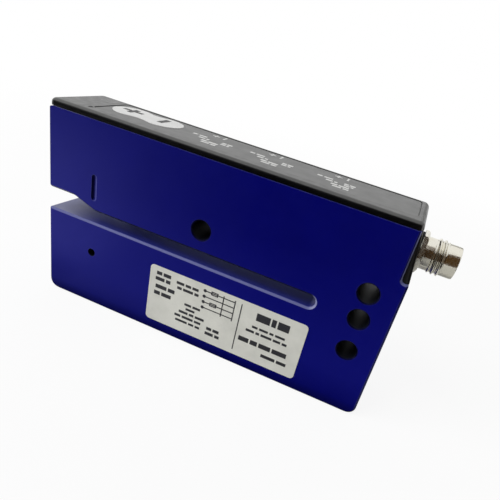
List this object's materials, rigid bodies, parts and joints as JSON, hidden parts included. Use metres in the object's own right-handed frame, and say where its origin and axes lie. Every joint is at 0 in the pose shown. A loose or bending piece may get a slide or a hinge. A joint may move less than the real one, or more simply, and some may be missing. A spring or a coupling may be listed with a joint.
{
  "type": "label sensor",
  "caption": "Ultrasonic fork sensor for labels: blue metal U with a narrow slot, black cover with plus and minus key field, and a round plug connector.",
  "frame": {"origin": "bottom centre of the sensor's box, on the resting edge of the fork", "axes": "+X from the open end of the fork towards the plug connector, +Y from the label side to the far side, +Z from the resting edge up to the key panel"},
  "size_m": [0.093, 0.0181, 0.0476],
  "materials": {
    "body": "blue anodised, satin",
    "cover": "black moulded plastic, fine matt grain",
    "panel": "grey polyester film, fine matt grain",
    "key": "light film, satin",
    "lamp": "dark clear plastic",
    "board": "green solder mask",
    "dark_plastic": "black moulded plastic",
    "chip": "black moulding compound",
    "passive": "tan ceramic",
    "transducer": "plain metal cup",
    "soft": "soft black elastomer",
    "lead": "grey-black jacket",
    "plug": "black sealing plug",
    "nickel": "nickel-plated brass, turned",
    "contact": "gold-plated",
    "label": "off-white label film, satin"
  },
  "bodies": {
    "root": {"fork_body": "body", "cover": "cover", "panel_film": "panel", "key_field": "key", "light_guide": "lamp", "main_board": "board", "connector_board": "board", "status_led": "lamp", "plus_switch": "dark_plastic", "minus_switch": "dark_plastic", "controller_chip": "chip", "driver_chip": "chip", "capacitor_1": "passive", "capacitor_2": "passive", "coil": "passive", "emitter": "transducer", "receiver": "transducer", "emitter_sleeve": "soft", "receiver_sleeve": "soft", "emitter_lead": "lead", "receiver_lead": "lead", "receiver_plug": "plug", "duct_plug": "plug", "connector_shell": "nickel", "connector_nut": "nickel", "connector_insert": "dark_plastic", "contact_pin_1": "contact", "contact_pin_2": "contact", "contact_pin_3": "contact", "contact_pin_4": "contact", "connector_seal": "soft", "label": "label"}
  },
  "joints": []
}
